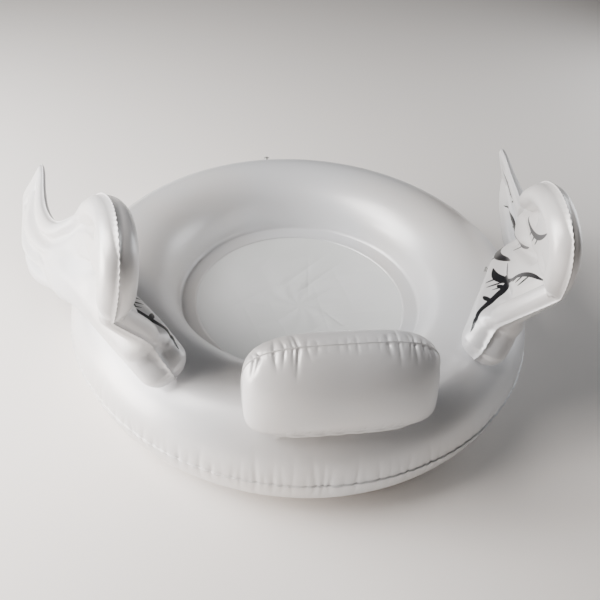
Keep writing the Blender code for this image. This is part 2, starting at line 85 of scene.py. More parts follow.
def writePoints(piece, points):
    piece.data.vertices.foreach_set("co", np.ascontiguousarray(points, dtype=np.float32).ravel())
    piece.data.update()


def applyModifier(piece, kind, **values):
    selectOnly(piece)
    modifier = piece.modifiers.new(kind.title(), kind)
    for key, value in values.items():
        setattr(modifier, key, value)
    bpy.ops.object.modifier_apply(modifier=modifier.name)


def editAll(piece, *steps):
    # each step is a mesh operator and its values, run on the whole piece
    selectOnly(piece)
    setMode("EDIT")
    for operator, values in steps:
        bpy.ops.mesh.select_all(action="SELECT")
        operator(**values)
    setMode("OBJECT")


def selectInside(piece, kind, action="DESELECT"):
    selectOnly(piece)
    setMode("EDIT")
    bpy.ops.mesh.select_mode(type=kind)
    bpy.ops.mesh.select_all(action=action)


def deletePoints(piece, unwanted):
    selectInside(piece, "VERT")
    setMode("OBJECT")
    piece.data.vertices.foreach_set("select", np.asarray(unwanted, dtype=bool))
    setMode("EDIT")
    bpy.ops.mesh.delete(type="VERT")
    setMode("OBJECT")


def growLip(piece, width, normalAt, rows=2):
    # a flat weld lip, standing out from the open border of a sheet; a negative width turns it in
    selectInside(piece, "EDGE", "SELECT")
    bpy.ops.mesh.region_to_loop()
    setMode("OBJECT")
    points = readPoints(piece)
    rim = {}
    for edge in piece.data.edges:
        if edge.select:
            first, second = edge.vertices
            rim.setdefault(first, []).append(second)
            rim.setdefault(second, []).append(first)
    start = next(iter(rim))
    loop = [start, rim[start][0]]
    while True:
        ahead = [other for other in rim[loop[-1]] if other != loop[-2]][0]
        if ahead == start:
            break
        loop.append(ahead)
    places = points[loop]
    tangent = np.roll(places, -2, axis=0) - np.roll(places, 2, axis=0)
    outward = np.cross(tangent, normalAt(places))
    sense = np.sign((outward * (places - places.mean(axis=0))).sum())
    outward *= sense * width / rows / np.linalg.norm(outward, axis=1)[:, None]
    away = {points[spot].tobytes(): outward[index] for index, spot in enumerate(loop)}
    for _ in range(rows):
        before = len(piece.data.vertices)
        setMode("EDIT")
        bpy.ops.mesh.extrude_edges_move(TRANSFORM_OT_translate={"value": (0, 0, 0)})
        setMode("OBJECT")
        points = readPoints(piece)
        moved = {}
        for index in range(before, len(points)):
            step = away[points[index].tobytes()]
            points[index] += step
            moved[index] = step
        writePoints(piece, points)
        points = readPoints(piece)
        away = {points[index].tobytes(): step for index, step in moved.items()}


def smoothStep(low, high, value):
    share = np.clip((value - low) / (high - low), 0, 1)
    return share * share * (3 - 2 * share)


def giveMaterial(piece, material):
    piece.data.materials.clear()
    piece.data.materials.append(material)


def finishPiece(piece, name, material, body, replaced=(), wall=0.0):
    piece.name = name
    piece.data.name = name
    if wall:
        applyModifier(piece, "SOLIDIFY", thickness=wall, offset=-1)
    giveMaterial(piece, material)
    selectOnly(piece)
    bpy.ops.object.shade_smooth()
    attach(piece, body)
    if replaced:
        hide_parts(*replaced)
    return piece


puckerSettings = {
    "slant": 0.15,  # how far it strays along its seam, as a share of its length
    "spacingSpread": (0.6, 1.4),
    "widthAtSeam": 0.6,
    "widening": 0.9,  # what its width gains by the end of its reach
    "widthsShown": 5,  # beyond so many widths from its middle line it is flat
    "fade": 1.4,
}


def scatterPuckers(length, spacing, reach, depth, width, seed):
    slant = puckerSettings["slant"]
    dice = random.Random(seed)
    found = []
    place = spacing * dice.random()
    while place < length:
        found.append((place, dice.uniform(*reach), dice.uniform(*depth), dice.uniform(*width),
                      dice.uniform(-slant, slant)))
        place += spacing * dice.uniform(*puckerSettings["spacingSpread"])
    return found


def puckerDepth(along, away, puckers, loop=0.0, sharpness=1.0):
    # how far a point sinks; sharpness 1 gives a creased valley, and more a soft one
    s = puckerSettings
    sunk = np.zeros_like(along)
    for spot, reach, deep, wide, slant in puckers:
        gap = np.abs(along - spot - slant * away)
        if loop:
            gap = np.minimum(gap, np.abs(loop - gap))
        spread = wide * (s["widthAtSeam"] + s["widening"] * np.clip(away / reach, 0, 1))
        near = (gap < s["widthsShown"] * spread) & (away < reach)
        fall = (1 - away[near] / reach) ** s["fade"]
        sunk[near] += deep * np.exp(-(gap[near] / spread[near]) ** sharpness) * fall
    return sunk


def nearestOnChain(first, second, chain):
    # each point's gap to the chain, its place along the chain, and the chain's length
    best = np.full(first.shape, np.inf)
    place = np.zeros_like(first)
    travelled = 0.0
    for (ax, ay), (bx, by) in zip(chain, chain[1:]):
        dx, dy = bx - ax, by - ay
        length = math.hypot(dx, dy)
        if length < 1e-9:
            continue
        share = np.clip(((first - ax) * dx + (second - ay) * dy) / length ** 2, 0, 1)
        gap = np.hypot(first - ax - share * dx, second - ay - share * dy)
        closer = gap < best
        best = np.where(closer, gap, best)
        place = np.where(closer, travelled + share * length, place)
        travelled += length
    return best, place, travelled


def hermite(points, place):
    # a smooth curve through the points, which runs on straight past both ends
    xs = np.array([p[0] for p in points])
    ys = np.array([p[1] for p in points])
    slopes = np.diff(ys) / np.diff(xs)
    pulls = np.concatenate([[slopes[0]], (slopes[:-1] + slopes[1:]) / 2, [slopes[-1]]])
    index = np.clip(np.searchsorted(xs, place) - 1, 0, len(xs) - 2)
    width = xs[index + 1] - xs[index]
    t = (place - xs[index]) / width
    low, high = t < 0, t > 1
    t = np.clip(t, 0, 1)
    value = ((2 * t ** 3 - 3 * t * t + 1) * ys[index] + (t ** 3 - 2 * t * t + t) * width * pulls[index]
             + (3 * t * t - 2 * t ** 3) * ys[index + 1] + (t ** 3 - t * t) * width * pulls[index + 1])
    value = np.where(low, ys[0] + slopes[0] * (place - xs[0]), value)
    return np.where(high, ys[-1] + slopes[-1] * (place - xs[-1]), value)


def curveThrough(points, shares, before=None, after=None):
    # a smooth curve through the points; those before and after it only steer its ends
    table = np.array([before or points[0], *points, after or points[-1]])
    spans = len(points) - 1
    place = np.clip(shares, 0, 1) * spans
    index = np.minimum(place.astype(int), spans - 1)
    t = (place - index)[:, None]
    behind, start, end, ahead = (table[index + step] for step in range(4))
    return 0.5 * (2 * start + (end - behind) * t + (2 * behind - 5 * start + 4 * end - ahead) * t * t
                  + (3 * start - behind - 3 * end + ahead) * t ** 3)


# Materials

def newMaterial(name):
    material = bpy.data.materials.new(name)
    material.use_nodes = True
    tree = material.node_tree
    return material, tree, tree.nodes["Principled BSDF"]


def addNode(tree, kind, inputs=None, **values):
    node = tree.nodes.new(kind)
    for key, value in values.items():
        setattr(node, key, value)
    for key, value in (inputs or {}).items():
        node.inputs[key].default_value = value
    return node


def noiseOn(tree, coordinates, scale, detail=3.0, rough=0.5):
    noise = addNode(tree, "ShaderNodeTexNoise", {"Scale": scale, "Detail": detail, "Roughness": rough})
    tree.links.new(coordinates, noise.inputs["Vector"])
    return noise.outputs["Fac"]


def rampOf(tree, value, stops):
    ramp = addNode(tree, "ShaderNodeValToRGB")
    for element, (place, colour) in zip(ramp.color_ramp.elements, stops):
        element.position = place
        element.color = colour
    tree.links.new(value, ramp.inputs["Fac"])
    return ramp.outputs["Color"]


pearlSettings = {
    "warm": (0.800, 0.775, 0.755, 1),
    "cool": (0.765, 0.775, 0.795, 1),
    "tintScale": 2.2,
    "tintStops": (0.35, 0.65),
    "roughLow": 0.33,
    "roughHigh": 0.43,
    "roughScale": 5.0,
    "metallic": 0.20,
    "coat": 0.38,
    "coatRoughness": 0.18,
    "grainScale": 420.0,
    "grainDepth": 0.00006,
    "grainStrength": 0.5,
    "sagScale": 14.0,
    "sagDepth": 0.0007,
    "sagStrength": 0.6,
}


def tintedMaterial(name, settings):
    material, tree, shader = newMaterial(name)
    coordinates = addNode(tree, "ShaderNodeTexCoord").outputs["Object"]
    tint = rampOf(tree, noiseOn(tree, coordinates, settings["tintScale"], 2.0),
                  zip(settings["tintStops"], (settings["warm"], settings["cool"])))
    return material, tree, shader, coordinates, tint


def addBump(tree, coordinates, settings, kind, detail=2.0, before=None):
    scale, depth, strength = (settings[kind + word] for word in ("Scale", "Depth", "Strength"))
    bump = addNode(tree, "ShaderNodeBump", {"Strength": strength, "Distance": depth})
    tree.links.new(noiseOn(tree, coordinates, scale, detail), bump.inputs["Height"])
    if before:
        tree.links.new(before, bump.inputs["Normal"])
    return bump.outputs["Normal"]


def filmShader(name, settings, ink=None):
    material, tree, shader, coordinates, tint = tintedMaterial(name, settings)
    if ink:
        mix = addNode(tree, "ShaderNodeMix", data_type="RGBA")
        mix.inputs["B"].default_value = settings["inkColour"]
        tree.links.new(ink(tree, coordinates), mix.inputs["Factor"])
        tree.links.new(tint, mix.inputs["A"])
        tint = mix.outputs["Result"]
    tree.links.new(tint, shader.inputs["Base Color"])
    rough = addNode(tree, "ShaderNodeMapRange",
                    {"To Min": settings["roughLow"], "To Max": settings["roughHigh"]})
    tree.links.new(noiseOn(tree, coordinates, settings["roughScale"]), rough.inputs["Value"])
    tree.links.new(rough.outputs["Result"], shader.inputs["Roughness"])
    grain = addBump(tree, coordinates, settings, "grain")
    sag = addBump(tree, coordinates, settings, "sag", before=grain)
    tree.links.new(sag, shader.inputs["Normal"])
    shader.inputs["Metallic"].default_value = settings["metallic"]
    shader.inputs["Coat Weight"].default_value = settings["coat"]
    shader.inputs["Coat Roughness"].default_value = settings["coatRoughness"]
    return material


clearSettings = {
    "warm": (0.86, 0.87, 0.87, 1),
    "cool": (0.80, 0.82, 0.81, 1),
    "tintScale": 3.0,
    "tintStops": (0.3, 0.7),
    "transmission": 0.12,
    "roughness": 0.28,
    "ior": 1.1,
    "bumpScale": 18.0,
    "bumpDepth": 0.0006,
    "bumpStrength": 0.6,
}
valveSettings = {
    "warm": (0.50, 0.50, 0.48, 1),
    "cool": (0.60, 0.60, 0.58, 1),
    "tintScale": 60.0,
    "tintStops": (0.3, 0.7),
    "transmission": 0.45,
    "roughness": 0.25,
    "ior": 1.4,
    "bumpDepth": 0,
}


def clearShader(name, settings):
    material, tree, shader, coordinates, tint = tintedMaterial(name, settings)
    tree.links.new(tint, shader.inputs["Base Color"])
    if settings["bumpDepth"]:
        bump = addBump(tree, coordinates, settings, "bump", 3.0)
        tree.links.new(bump, shader.inputs["Normal"])
    shader.inputs["Roughness"].default_value = settings["roughness"]
    shader.inputs["Transmission Weight"].default_value = settings["transmission"]
    shader.inputs["IOR"].default_value = settings["ior"]
    return material


# Ink on the wings' inner faces: plain quill lines, each a bowed and tapered stroke

inkSettings = {
    "inkColour": (0.012, 0.012, 0.014, 1),
    "strokes": [  # start, end (along Y and Z), bow, half width at the middle
        ((-0.46, 0.415), (-0.24, 0.475), -0.030, 0.0085),
        ((-0.40, 0.560), (-0.22, 0.440), 0.026, 0.0075),
        ((-0.50, 0.620), (-0.36, 0.500), -0.022, 0.0060),
        ((-0.45, 0.735), (-0.24, 0.640), 0.030, 0.0085),
        ((-0.33, 0.600), (-0.06, 0.500), 0.026, 0.0080),
        ((-0.26, 0.500), (0.04, 0.390), 0.026, 0.0080),
        ((-0.08, 0.440), (0.20, 0.350), 0.022, 0.0075),
        ((0.10, 0.420), (0.42, 0.400), 0.024, 0.0080),
        ((0.06, 0.300), (0.36, 0.270), -0.022, 0.0070),
    ],
    "taper": 0.6,  # a lower power keeps a stroke wide nearer to its ends
    "barbs": 3,
    "barbPlaces": (0.35, 0.5),  # where on a stroke they start, and the share that they spread over
    "barbLength": 0.060,
    "barbShortening": 1.1,
    "barbWidth": 0.0036,
    "barbAngle": 38.0,
}


def strokeGroup():
    # ink is 1 where a point lies within the stroke's width of its bowed middle line
    group = bpy.data.node_groups.new("quillStroke", "ShaderNodeTree")
    for name in ("Y", "Z", "StartY", "StartZ", "AlongY", "AlongZ", "Length", "Bow", "Width"):
        group.interface.new_socket(name=name, in_out="INPUT", socket_type="NodeSocketFloat")
    group.interface.new_socket(name="Ink", in_out="OUTPUT", socket_type="NodeSocketFloat")
    start = group.nodes.new("NodeGroupInput")
    end = group.nodes.new("NodeGroupOutput")

    def combine(operation, *values):
        node = group.nodes.new("ShaderNodeMath")
        node.operation = operation
        for socket, value in zip(node.inputs, values):
            if isinstance(value, (int, float)):
                socket.default_value = value
            else:
                group.links.new(value, socket)
        return node.outputs[0]

    given = start.outputs
    offsetY = combine("SUBTRACT", given["Y"], given["StartY"])
    offsetZ = combine("SUBTRACT", given["Z"], given["StartZ"])
    along = combine("ADD", combine("MULTIPLY", offsetY, given["AlongY"]),
                    combine("MULTIPLY", offsetZ, given["AlongZ"]))
    across = combine("SUBTRACT", combine("MULTIPLY", offsetY, given["AlongZ"]),
                     combine("MULTIPLY", offsetZ, given["AlongY"]))
    share = combine("DIVIDE", along, given["Length"])
    arch = combine("MULTIPLY", combine("MULTIPLY", share, combine("SUBTRACT", 1.0, share)), 4.0)
    bowed = combine("ABSOLUTE", combine("SUBTRACT", across, combine("MULTIPLY", arch, given["Bow"])))
    taper = combine("POWER", combine("MAXIMUM", arch, 0.0), inkSettings["taper"])
    inside = combine("LESS_THAN", bowed, combine("MULTIPLY", given["Width"], taper))
    group.links.new(combine("MULTIPLY", inside, combine("GREATER_THAN", arch, 0.0)), end.inputs["Ink"])
    return group


def withBarbs(strokes):
    s = inkSettings
    found = list(strokes)
    for start, end, bow, width in strokes:
        alongY, alongZ = end[0] - start[0], end[1] - start[1]
        length = math.hypot(alongY, alongZ)
        turn = math.atan2(alongZ, alongY) - math.radians(s["barbAngle"])
        for barb in range(s["barbs"]):
            share = s["barbPlaces"][0] + s["barbPlaces"][1] * barb / s["barbs"]
            lift = 4 * share * (1 - share) * bow
            rootY = start[0] + alongY * share + lift * alongZ / length
            rootZ = start[1] + alongZ * share - lift * alongY / length
            reach = s["barbLength"] * (s["barbShortening"] - share)
            tip = (rootY + reach * math.cos(turn), rootZ + reach * math.sin(turn))
            found.append(((rootY, rootZ), tip, 0.0, s["barbWidth"]))
    return found


def quillInk(tree, coordinates):
    group = strokeGroup()
    split = addNode(tree, "ShaderNodeSeparateXYZ")
    tree.links.new(coordinates, split.inputs[0])
    ink = None
    for start, end, bow, width in withBarbs(inkSettings["strokes"]):
        alongY, alongZ = end[0] - start[0], end[1] - start[1]
        length = math.hypot(alongY, alongZ)
        values = {"StartY": start[0], "StartZ": start[1], "AlongY": alongY / length,
                  "AlongZ": alongZ / length, "Length": length, "Bow": bow, "Width": width}
        node = addNode(tree, "ShaderNodeGroup", values, node_tree=group)
        tree.links.new(split.outputs["Y"], node.inputs["Y"])
        tree.links.new(split.outputs["Z"], node.inputs["Z"])
        if ink is None:
            ink = node.outputs["Ink"]
        else:
            most = addNode(tree, "ShaderNodeMath", operation="MAXIMUM")
            tree.links.new(ink, most.inputs[0])
            tree.links.new(node.outputs["Ink"], most.inputs[1])
            ink = most.outputs[0]
    return ink


print("materials")
pearlFilm = filmShader("pearlPvc", pearlSettings)
printedFilm = filmShader("printedPvc", {**pearlSettings, **inkSettings}, quillInk)
floorFilm = clearShader("clearPvc", clearSettings)
valveMaterial = clearShader("valveVinyl", valveSettings)


# Camera, light and floor

def placeCamera():
    s = viewSettings
    turn, tilt, roll = (math.radians(s[key]) for key in ("azimuth", "elevation", "roll"))
    back = Vector((-math.sin(turn) * math.cos(tilt), -math.cos(turn) * math.cos(tilt), math.sin(tilt)))
    right = (-back).cross(Vector((0, 0, 1))).normalized()
    up = right.cross(-back)
    rolledRight = right * math.cos(roll) + up * math.sin(roll)
    rolledUp = up * math.cos(roll) - right * math.sin(roll)
    bpy.ops.object.camera_add()
    camera = bpy.context.active_object
    camera.name = "photoCamera"
    place = Matrix((rolledRight, rolledUp, back)).transposed().to_4x4()
    place.translation = Vector(s["target"]) + back * s["distance"]
    camera.matrix_world = place
    camera.data.sensor_width = s["sensorWidth"]
    camera.data.lens = s["sensorWidth"] * s["focalPixels"] / s["imagePixels"]
    bpy.context.scene.camera = camera


def placeLights():
    s = lightSettings
    for name, azimuth, elevation, distance, width, height, power, colour in s["areas"]:
        turn, tilt = math.radians(azimuth), math.radians(elevation)
        away = Vector((math.cos(turn) * math.cos(tilt), math.sin(turn) * math.cos(tilt), math.sin(tilt)))
        bpy.ops.object.light_add(type="AREA", location=away * distance,
                                 rotation=(-away).to_track_quat("-Z", "Y").to_euler())
        light = bpy.context.active_object
        light.name = name
        light.data.shape = "RECTANGLE"
        light.data.size = width
        light.data.size_y = height
        light.data.energy = power
        light.data.color = colour
    world = bpy.data.worlds.new("softRoom")
    world.use_nodes = True
    background = world.node_tree.nodes["Background"]
    background.inputs["Color"].default_value = (*s["worldColour"], 1)
    background.inputs["Strength"].default_value = s["worldStrength"]
    bpy.context.scene.world = world


def placeFloor():
    s = lightSettings
    bpy.ops.mesh.primitive_plane_add(size=s["floorSize"], location=(0, 0, -s["floorDrop"]))
    floor = bpy.context.active_object
    floor.name = "studioFloor"
    material, _, shader = newMaterial("studioFloor")
    shader.inputs["Base Color"].default_value = (*s["floorColour"], 1)
    shader.inputs["Roughness"].default_value = s["floorRoughness"]
    floor.data.materials.append(material)


print("camera, light and floor")
placeCamera()
placeLights()
placeFloor()


# Ring

ringSettings = {
    "outerRadius": 0.747,
    "innerRadius": 0.404,
    "seamHeight": 0.170,
    "crestRise": 0.174,
    "bellyDrop": 0.1725,
    "halfStack": 0.00065,  # half the weld gap and one sheet
    "sheet": 0.0005,
    "aroundSteps": 1060,
    "sectionSteps": {1: 72, -1: 56},  # round the whole section, in fours; half are kept
    "crowding": 1.35,  # draws the rows of points towards the outer seam
    "flange": {1: 0.054, -1: 0.018},
    "flangeRows": {1: 6, -1: 3},
    "flangeDip": 0.010,
    "lip": 0.004,
    "lipRows": 2,
    "closeBy": 0.0005,  # a point so near to the seam's radius belongs to the border
    "puckerSpacing": 0.028,
    "puckerReach": (0.045, 0.110),
    "puckerDepth": (0.0018, 0.0055),
    "puckerWidth": (0.0055, 0.0085),
    "waveDepth": 0.0012,
    "waveCount": 7,
    "seed": 7,
}
tubeMiddle = (ringSettings["outerRadius"] + ringSettings["innerRadius"]) / 2
tubeHalf = (ringSettings["outerRadius"] - ringSettings["innerRadius"]) / 2
ringLoop = 2 * math.pi * ringSettings["outerRadius"]
flangeSlope = ringSettings["flangeDip"] / ringSettings["flange"][1]
outwardNormals = [(bpy.ops.mesh.normals_make_consistent, {"inside": False})]
ringPuckers = scatterPuckers(ringLoop, ringSettings["puckerSpacing"], ringSettings["puckerReach"],
                             ringSettings["puckerDepth"], ringSettings["puckerWidth"], ringSettings["seed"])


def slowWave(turn, section, seed):
    dice = random.Random(seed)
    wave = np.zeros_like(turn)
    count = ringSettings["waveCount"]
    for _ in range(count):
        around, across = dice.randint(2, 9), dice.uniform(0.5, 2.5)
        wave += np.sin(around * turn + across * section + dice.uniform(0, 2 * math.pi)) / count
    return wave


def extendBorder(piece, onBorder, steps):
    # steps: (scale across, move along Z) for each new row of the flange
    selectInside(piece, "EDGE")
    setMode("OBJECT")
    chosen = onBorder(readPoints(piece))
    ends = np.empty(len(piece.data.edges) * 2, dtype=np.int32)
    piece.data.edges.foreach_get("vertices", ends)
    ends = ends.reshape(-1, 2)
    piece.data.edges.foreach_set("select", chosen[ends[:, 0]] & chosen[ends[:, 1]])
    setMode("EDIT")
    for scale, drop in steps:
        bpy.ops.mesh.extrude_edges_move(TRANSFORM_OT_translate={"value": (0, 0, drop)})
        bpy.ops.transform.resize(value=(scale, scale, 1), center_override=(0, 0, 0))
    setMode("OBJECT")


def spinSection(side):
    # a whole tube, spun from a circle that has a point level with its middle
    s = ringSettings
    bpy.ops.mesh.primitive_circle_add(vertices=s["sectionSteps"][side], radius=tubeHalf,
                                      location=(tubeMiddle, 0, 0), rotation=(math.pi / 2, 0, 0))
    tube = bpy.context.active_object
    bpy.ops.object.transform_apply(location=True, rotation=True, scale=True)
    editAll(tube, (bpy.ops.mesh.spin, {"steps": s["aroundSteps"], "angle": 2 * math.pi,
                                       "center": (0, 0, 0), "axis": (0, 0, 1)}),
            (bpy.ops.mesh.remove_doubles, {"threshold": 0.0001}))
    return tube


def flangeStep(start, end, dip=0.0):
    # the scale and the drop that carry a border from one radius to another
    return end / start, -dip * (start - end)


def makeRingSheet(name, side):
    s = ringSettings
    sheet = spinSection(side)
    deletePoints(sheet, readPoints(sheet)[:, 2] * side < -tiny)
    points = readPoints(sheet)
    turn = np.arctan2(points[:, 1], points[:, 0])
    section = np.arctan2(np.abs(points[:, 2]), np.hypot(points[:, 0], points[:, 1]) - tubeMiddle)
    section = math.pi * (section / math.pi) ** s["crowding"]
    away = tubeHalf * section
    sunk = puckerDepth(turn % (2 * math.pi) * s["outerRadius"], away, ringPuckers, ringLoop)
    swell = s["waveDepth"] * slowWave(turn, section * side, s["seed"]) * np.sin(section) - sunk
    rise = (s["crestRise"] if side > 0 else s["bellyDrop"]) + swell
    radius = tubeMiddle + (tubeHalf + swell) * np.cos(section)
    height = s["seamHeight"] + side * (s["halfStack"] + rise * np.sin(section))
    if side < 0:
        height = np.maximum(height, 0)  # the ring rests flat on the ground
    writePoints(sheet, np.stack([radius * np.cos(turn), radius * np.sin(turn), height], axis=1))

    rows, inner, outer = s["flangeRows"][side], s["innerRadius"], s["outerRadius"]
    edges = [inner - s["flange"][side] * row / rows for row in range(rows + 1)]
    extendBorder(sheet, lambda p: np.hypot(p[:, 0], p[:, 1]) < inner + s["closeBy"],
                 [flangeStep(start, end, flangeSlope) for start, end in zip(edges, edges[1:])])
    edges = [outer + s["lip"] * row / s["lipRows"] for row in range(s["lipRows"] + 1)]
    seamLevel = s["seamHeight"] + side * s["halfStack"]
    extendBorder(sheet, lambda p: ((np.hypot(p[:, 0], p[:, 1]) > tubeMiddle)
                                   & (np.abs(p[:, 2] - seamLevel) < 10 * tiny)),
                 [flangeStep(start, end) for start, end in zip(edges, edges[1:])])
    editAll(sheet, (bpy.ops.mesh.remove_doubles, {"threshold": 0.00001}), *outwardNormals)
    return finishPiece(sheet, name, pearlFilm, "ring_body",
                       ("ring_top_sheet" if side > 0 else "ring_bottom_sheet",), s["sheet"])


floorSettings = {
    "radius": 0.383,
    "sag": 0.030,
    "aroundSteps": 400,
    "rows": 180,
    "creaseCount": 26,
    "creaseDepth": 0.0034,
    "creaseWidth": 0.0075,
    "creaseOffset": 0.25,  # how far from the middle a crease may pass
    "creaseShift": 0.2,  # and how far its own middle may lie along it
    "creaseReach": (0.06, 0.22),
    "creaseBow": 0.5,
    "waveDepth": 0.0055,
    "waveTwist": 18,
    "calmReach": 0.12,  # no cusp at the middle, where the waves meet
    "belowSeam": 0.00015,
    "seed": 11,
}


def makeFloorFilm():
    s = floorSettings
    bpy.ops.mesh.primitive_uv_sphere_add(segments=s["aroundSteps"], ring_count=s["rows"], radius=1)
    film = bpy.context.active_object
    deletePoints(film, readPoints(film)[:, 2] < -tiny)
    points = readPoints(film)
    turn = np.arctan2(points[:, 1], points[:, 0])
    share = np.arccos(np.clip(points[:, 2], -1, 1)) / (math.pi / 2)
    radius = share * s["radius"]
    x, y = radius * np.cos(turn), radius * np.sin(turn)
    flangeEdge = ringSettings["innerRadius"] - ringSettings["flange"][1]
    level = ringSettings["seamHeight"] - s["belowSeam"]
    flangeLevel = level - ringSettings["flangeDip"]
    inner = np.minimum(radius / flangeEdge, 1)
    sagged = flangeLevel - s["sag"] * (1 - inner ** 2)
    welded = level - (ringSettings["innerRadius"] - radius) * flangeSlope
    height = np.where(radius > flangeEdge, welded, sagged)
    free = np.clip(1 - inner, 0, 1) ** 0.5
    dice = random.Random(s["seed"])
    crease = np.zeros_like(x)
    for _ in range(s["creaseCount"]):
        heading = dice.uniform(0, math.pi)
        offset = dice.uniform(-s["creaseOffset"], s["creaseOffset"])
        centre = dice.uniform(-s["creaseShift"], s["creaseShift"])
        reach = dice.uniform(*s["creaseReach"])
        across = x * math.sin(heading) - y * math.cos(heading) - offset
        along = x * math.cos(heading) + y * math.sin(heading) - centre
        across = across + s["creaseBow"] * dice.uniform(-1, 1) * along ** 2
        fade = np.exp(-(along / reach) ** 4)
        crease += dice.uniform(0.4, 1) * np.exp(-np.abs(across) / s["creaseWidth"]) * fade
    wave = slowWave(turn, radius * s["waveTwist"], s["seed"])
    calm = smoothStep(0.0, s["calmReach"], radius)
    height = height + free * calm * (s["waveDepth"] * wave - s["creaseDepth"] * crease)
    writePoints(film, np.stack([x, y, height], axis=1))
    return finishPiece(film, "floorFilm", floorFilm, "ring_body", ("floor_sheet",),
                       ringSettings["sheet"])


print("ring")
makeRingSheet("ringTop", 1)
makeRingSheet("ringBottom", -1)
print("floor")
makeFloorFilm()


# Backrest

backrestSettings = {
    "width": 0.49,
    "height": 0.258,
    "depth": 0.165,
    "back": 0.675,
    "axisHeight": 0.31739,
    "lean": 20.0,
    "lip": 0.005,
    "topPower": 3.4,
    "bottomPower": 6.0,
    "depthPower": 2.5,
    "swellPower": 0.85,
    "seamTurn": 24.0,  # degrees from the crown back to the seam
    "segments": 180,
    "rings": 320,
    "rimSteps": 240,
    "ringGap": 0.004,  # how far the cushion keeps off the ring
    "crownLip": 0.0025,
    "puckerSpacing": 0.027,
    "puckerReach": (0.03, 0.070),
    "puckerDepth": (0.0004, 0.0030),
    "puckerWidth": (0.0035, 0.0060),
    "puckerSharpness": 1.5,
    "puckerStart": 0.008,  # a pucker gains its depth over this way from the seam
    "cornerPuckers": 6,
    "cornerReach": (0.055, 0.110),
    "cornerDepth": (0.0035, 0.0085),
    "cornerWidth": (0.0042, 0.0065),
    "cornerSpan": (0.105, 0.220),
    "cornerStray": 0.45,  # a share of the gap between two corner puckers
    "cornerSlant": (-0.10, 0.22),
    "footLip": 0.010,  # the lip below the cushion is wider, and wavy
    "footWave": 0.0014,
    "footWaveLength": 0.052,
    "seed": 23,
}


def backrestOutline(share, up):
    s = backrestSettings
    low, high = ((1 - share ** s[key]) ** (1 / s[key]) for key in ("bottomPower", "topPower"))
    return low + (high - low) * smoothStep(-0.5, 0.5, up)


def backrestForm(share, turn):
    # the closed cushion before it leans, by share of its half width and turn from front over the crown
    s = backrestSettings
    up = np.sin(turn)
    outline = backrestOutline(np.abs(share), up)
    fullness = (1 - np.abs(share) ** s["depthPower"]) ** (1 / s["depthPower"])
    front = np.cos(turn)
    y = s["depth"] / 2 * fullness * np.sign(front) * np.abs(front) ** s["swellPower"]
    return np.stack([s["width"] / 2 * share, y, s["lip"] + s["height"] / 2 * (1 + outline * up)], axis=1)


def ringClear(points, margin):
    # keeps a soft piece out of the ring's tube
    s = ringSettings
    radius = np.hypot(points[:, 0], points[:, 1])
    across = radius - tubeMiddle
    above = points[:, 2] - s["seamHeight"]
    rise = s["crestRise"] + s["halfStack"] + s["waveDepth"] + margin
    share = np.hypot(across / (tubeHalf + s["waveDepth"] + margin), above / rise)
    inside = share < 1
    out = np.where(inside, 1 / np.maximum(share, 0.2), 1)  # no far jump from near the tube's middle
    newRadius = tubeMiddle + across * out
    points = points.copy()
    points[:, 0] *= newRadius / radius
    points[:, 1] *= newRadius / radius
    points[:, 2] = s["seamHeight"] + above * out
    return points


def leanBack(points):
    s = backrestSettings
    lean = math.radians(s["lean"])
    y, z = points[:, 1], points[:, 2]
    return np.stack([points[:, 0], -s["back"] + y * math.cos(lean) + z * math.sin(lean),
                     s["axisHeight"] - y * math.sin(lean) + z * math.cos(lean)], axis=1)


def backrestPuckers(side, rim, dice):
    # puckers along one half of the seam, the upper one with a fan of long ones at both corners
    s = backrestSettings
    length = float(np.linalg.norm(np.diff(rim, axis=0), axis=1).sum())
    puckers = scatterPuckers(length, s["puckerSpacing"], s["puckerReach"], s["puckerDepth"],
                             s["puckerWidth"], s["seed"] + side)
    puckers = [(spot / length * s["width"] - s["width"] / 2, *rest) for spot, *rest in puckers]
    first, last = s["cornerSpan"]
    for corner in (-1, 1):
        for step in range(s["cornerPuckers"] if side > 0 else 0):
            stray = dice.uniform(-s["cornerStray"], s["cornerStray"])
            spot = first + (last - first) * (step + stray) / (s["cornerPuckers"] - 1)
            puckers.append((corner * spot, dice.uniform(*s["cornerReach"]), dice.uniform(*s["cornerDepth"]),
                            dice.uniform(*s["cornerWidth"]), corner * dice.uniform(*s["cornerSlant"])))
    return puckers


